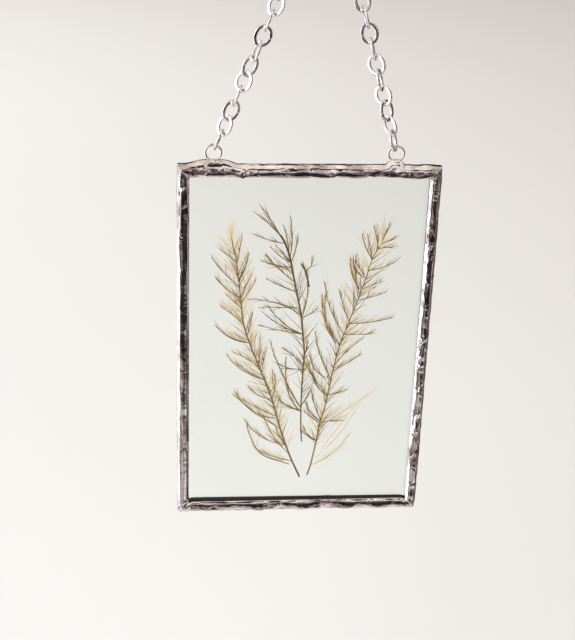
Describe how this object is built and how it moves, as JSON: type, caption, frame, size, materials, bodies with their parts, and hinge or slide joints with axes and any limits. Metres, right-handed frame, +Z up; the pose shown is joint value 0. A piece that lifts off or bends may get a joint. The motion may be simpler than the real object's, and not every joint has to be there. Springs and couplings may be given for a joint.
{
  "type": "pressed flower frame",
  "caption": "Small hanging frame of clear double glass with pressed fern sprigs inside, a bright lumpy soldered edge, jump rings and a chain of oval links.",
  "frame": {"origin": "where the chain hangs over its hook: the underside of its middle link", "axes": "+Z up, +X to the right seen from the front, the front faces -Y"},
  "size_m": [0.104, 0.007, 0.2564],
  "materials": {
    "glass": "clear polished float glass with a faint green tint",
    "foil": "copper foil tape with a dull black backing",
    "solder": "bright polished solder, lumpy and wrinkled",
    "ring": "bright plated wire",
    "chain": "bright plated wire pressed flat",
    "straw": "dry matte plant, pale straw with brown-olive midlines",
    "olive": "dry matte plant, golden olive-brown",
    "pale_straw": "dry matte plant, cream straw on an orange-brown stem"
  },
  "bodies": {
    "chain": {"chain_left_01": "chain", "chain_left_02": "chain", "chain_left_03": "chain", "chain_left_04": "chain", "chain_left_05": "chain", "chain_left_06": "chain", "chain_left_07": "chain", "chain_left_08": "chain", "chain_left_09": "chain", "chain_left_10": "chain", "chain_left_11": "chain", "chain_left_12": "chain", "chain_left_13": "chain", "chain_left_14": "chain", "chain_left_15": "chain", "chain_left_16": "chain", "chain_right_01": "chain", "chain_right_02": "chain", "chain_right_03": "chain", "chain_right_04": "chain", "chain_right_05": "chain", "chain_right_06": "chain", "chain_right_07": "chain", "chain_right_08": "chain", "chain_right_09": "chain", "chain_right_10": "chain", "chain_right_11": "chain", "chain_right_12": "chain", "chain_right_13": "chain", "chain_right_14": "chain", "chain_right_15": "chain", "chain_right_16": "chain", "chain_middle": "chain"},
    "frame": {"pane_front": "glass", "pane_back": "glass", "foil_tape": "foil", "solder_edge": "solder", "ring_left": "ring", "ring_right": "ring", "sprig_left": "straw", "sprig_middle": "olive", "sprig_right": "pale_straw"}
  },
  "joints": [
    {"name": "frame_swing", "type": "hinge", "parent": "chain", "child": "frame", "pos_m": [-0.0052, 0, -0.09053], "axis": [1, 0, 0], "range_deg": [-90, 90]}
  ]
}
